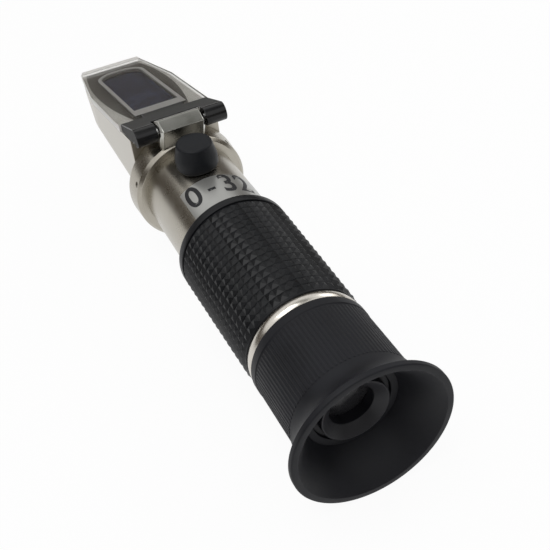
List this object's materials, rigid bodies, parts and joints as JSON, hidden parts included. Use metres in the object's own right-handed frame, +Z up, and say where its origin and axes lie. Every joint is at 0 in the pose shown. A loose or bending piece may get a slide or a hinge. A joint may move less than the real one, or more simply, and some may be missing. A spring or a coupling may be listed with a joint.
{
  "type": "handheld refractometer",
  "caption": "Tubular optical instrument with a rubber eyecup, focusing eyepiece, knurled grip, capped calibration screw and a prism box under a hinged clear daylight plate.",
  "frame": {"origin": "bottom centre of the bounding box, under the middle of the length, on the level of the eyecup rim's lowest point", "axes": "+Y along the optical axis from the eyecup to the prism box, +Z up through the calibration cap, +X to the right seen from the eyecup"},
  "size_m": [0.0362, 0.1656, 0.0404],
  "materials": {
    "body_satin": "satin nickel plate, fine brushed",
    "bead_bright": "polished nickel",
    "hinge_chrome": "polished chrome",
    "pin_steel": "plain steel",
    "grip_rubber": "matte moulded rubber",
    "cup_rubber": "satin soft rubber",
    "cap_rubber": "matte moulded rubber",
    "barrel_black": "matte black",
    "frame_black": "semi-gloss black",
    "plate_clear": "clear moulded plastic",
    "prism_glass": "polished optical glass",
    "lens_glass": "coated optical glass",
    "seal_black": "matte",
    "inner_black": "black anodised",
    "brass_plain": "turned brass",
    "strip_metal": "rolled strip"
  },
  "bodies": {
    "body": {"body_tube": "body_satin", "rear_bush": "bead_bright", "grip_sleeve": "grip_rubber", "reticle_ring": "inner_black", "reticle": "lens_glass", "reticle_retainer": "inner_black", "calibration_boss": "brass_plain", "screw_ring": "brass_plain", "objective_guide": "inner_black", "front_baffle": "inner_black", "collar": "body_satin", "prism_box": "body_satin", "measuring_prism": "prism_glass", "prism_seal": "seal_black", "hinge_block": "hinge_chrome", "hinge_pin": "pin_steel"},
    "objective": {"objective_slider": "brass_plain", "bimetal_strip": "strip_metal", "objective_cell": "inner_black", "objective_lens": "lens_glass", "objective_ring": "inner_black"},
    "cal_screw": {"calibration_screw": "brass_plain"},
    "cap": {"calibration_cap": "cap_rubber"},
    "lens_stack": {"eye_lens": "lens_glass", "lens_spacer": "inner_black", "field_lens": "lens_glass", "lens_retainer": "inner_black"},
    "eyepiece": {"eyepiece_barrel": "barrel_black", "eyecup": "cup_rubber"},
    "flap": {"hinge_frame": "frame_black", "daylight_plate": "plate_clear"}
  },
  "joints": [
    {"name": "flap_open", "type": "hinge", "parent": "body", "child": "flap", "pos_m": [0, 0.01365, 0.0377], "axis": [1, 0, 0], "range_deg": [0, 110]},
    {"name": "focus_travel", "type": "slide", "parent": "body", "child": "lens_stack", "axis": [0, -1, 0], "range_m": [0, 0.004]},
    {"name": "focus_turn", "type": "hinge", "parent": "lens_stack", "child": "eyepiece", "pos_m": [0, -0.06935, 0.0181], "axis": [0, -1, 0], "range_deg": [0, 285]},
    {"name": "cal_turn", "type": "hinge", "parent": "body", "child": "cal_screw", "pos_m": [0, 0.00435, 0.0331], "axis": [0, 0, 1], "range_deg": [-515, 515]},
    {"name": "objective_shift", "type": "slide", "parent": "body", "child": "objective", "axis": [0, 0, 1], "range_m": [-0.0005, 0.0005]},
    {"name": "cap_pull", "type": "slide", "parent": "body", "child": "cap", "axis": [0, 0, 1], "range_m": [0, 0.012]}
  ],
  "couplings": [
    {"joint": "focus_travel", "follows": "focus_turn", "m_per_rad": 0.00079577},
    {"joint": "cal_turn", "follows": "objective_shift", "rad_per_m": -17952}
  ]
}
